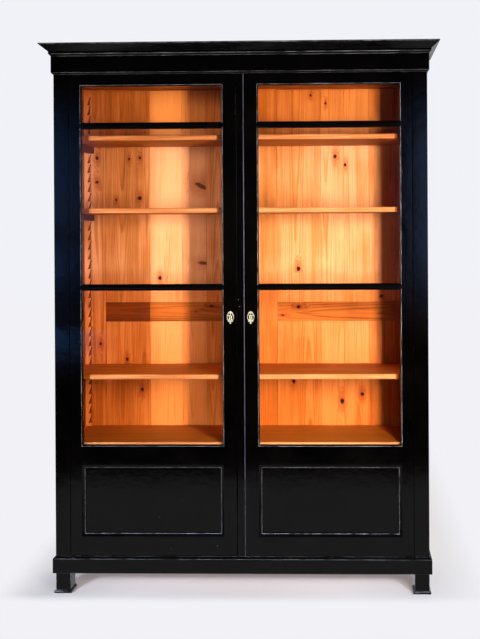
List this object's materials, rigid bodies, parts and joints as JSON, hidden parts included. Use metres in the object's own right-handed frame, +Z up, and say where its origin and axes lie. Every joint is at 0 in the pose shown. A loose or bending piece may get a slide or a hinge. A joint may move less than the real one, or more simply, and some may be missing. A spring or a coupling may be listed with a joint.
{
  "type": "bookcase with glass doors",
  "caption": "Tall ebonised bookcase with two glazed doors over wood panels, adjustable pine shelves on toothed racks, moulded cornice, plinth and block feet.",
  "frame": {"origin": "on the floor, under the middle of the whole outline", "axes": "+Z up from the floor, the doors face -Y, +X to the right as seen from the front"},
  "size_m": [1.55, 0.457, 2.14],
  "materials": {
    "ebonised_wood": "black-stained softwood under french polish, glossy and worn at the arrises",
    "shellacked_pine": "old pine under orange shellac, satin",
    "window_glass": "clear old window glass",
    "brass": "pale worn brass",
    "steel": "filed and darkened steel"
  },
  "bodies": {
    "case": {"back_boards_lower": "shellacked_pine", "back_boards_upper": "shellacked_pine", "back_post_left": "ebonised_wood", "back_post_right": "ebonised_wood", "back_rails": "shellacked_pine", "back_stiles": "shellacked_pine", "bottom_board": "shellacked_pine", "cornice_front": "ebonised_wood", "cornice_left": "ebonised_wood", "cornice_right": "ebonised_wood", "dust_board": "shellacked_pine", "feet": "ebonised_wood", "fixed_shelf": "shellacked_pine", "frieze_front": "ebonised_wood", "frieze_left": "ebonised_wood", "frieze_right": "ebonised_wood", "front_post_left": "ebonised_wood", "front_post_right": "ebonised_wood", "head_rail": "ebonised_wood", "pivot_sockets": "brass", "plinth_front": "ebonised_wood", "plinth_left": "ebonised_wood", "plinth_right": "ebonised_wood", "racks_left": "shellacked_pine", "racks_right": "shellacked_pine", "shelf_cleats": "shellacked_pine", "side_panel_left": "ebonised_wood", "side_panel_right": "ebonised_wood", "side_rails": "ebonised_wood", "sill_rail": "ebonised_wood", "top_board": "shellacked_pine"},
    "left_door": {"door_left_escutcheon": "brass", "door_left_glass": "window_glass", "door_left_glazing_bars": "ebonised_wood", "door_left_glazing_beads": "ebonised_wood", "door_left_hinge_stile": "ebonised_wood", "door_left_meeting_stile": "ebonised_wood", "door_left_panel": "ebonised_wood", "door_left_panel_moulding": "ebonised_wood", "door_left_pivots": "brass", "door_left_rails": "ebonised_wood", "bolt_plates": "brass"},
    "right_door": {"door_right_escutcheon": "brass", "door_right_glass": "window_glass", "door_right_glazing_bars": "ebonised_wood", "door_right_glazing_beads": "ebonised_wood", "door_right_hinge_stile": "ebonised_wood", "door_right_meeting_stile": "ebonised_wood", "door_right_panel": "ebonised_wood", "door_right_panel_moulding": "ebonised_wood", "door_right_pivots": "brass", "door_right_rails": "ebonised_wood", "astragal": "ebonised_wood", "lock_case": "steel"},
    "lock_bolt": {"lock_bolt": "steel"},
    "top_bolt": {"top_bolt": "steel"},
    "bottom_bolt": {"bottom_bolt": "steel"},
    "upper_shelf": {"shelf_upper": "shellacked_pine"},
    "middle_shelf": {"shelf_middle": "shellacked_pine"},
    "lower_shelf": {"shelf_lower": "shellacked_pine"}
  },
  "joints": [
    {"name": "left_door_swing", "type": "hinge", "parent": "case", "child": "left_door", "pos_m": [-0.657, -0.1755, 1.083], "axis": [0, 0, -1], "range_deg": [0, 110]},
    {"name": "right_door_swing", "type": "hinge", "parent": "case", "child": "right_door", "pos_m": [0.657, -0.1755, 1.083], "axis": [0, 0, 1], "range_deg": [0, 110]},
    {"name": "lock_bolt_throw", "type": "slide", "parent": "right_door", "child": "lock_bolt", "axis": [-1, 0, 0], "range_m": [0, 0.01]},
    {"name": "top_bolt_throw", "type": "slide", "parent": "left_door", "child": "top_bolt", "axis": [0, 0, 1], "range_m": [0, 0.012]},
    {"name": "bottom_bolt_throw", "type": "slide", "parent": "left_door", "child": "bottom_bolt", "axis": [0, 0, -1], "range_m": [0, 0.012]},
    {"name": "upper_shelf_lift", "type": "slide", "parent": "case", "child": "upper_shelf", "axis": [0, 0, 1], "range_m": [0, 0.041]},
    {"name": "middle_shelf_lift", "type": "slide", "parent": "case", "child": "middle_shelf", "axis": [0, 0, 1], "range_m": [0, 0.041]},
    {"name": "lower_shelf_lift", "type": "slide", "parent": "case", "child": "lower_shelf", "axis": [0, 0, 1], "range_m": [0, 0.041]}
  ]
}
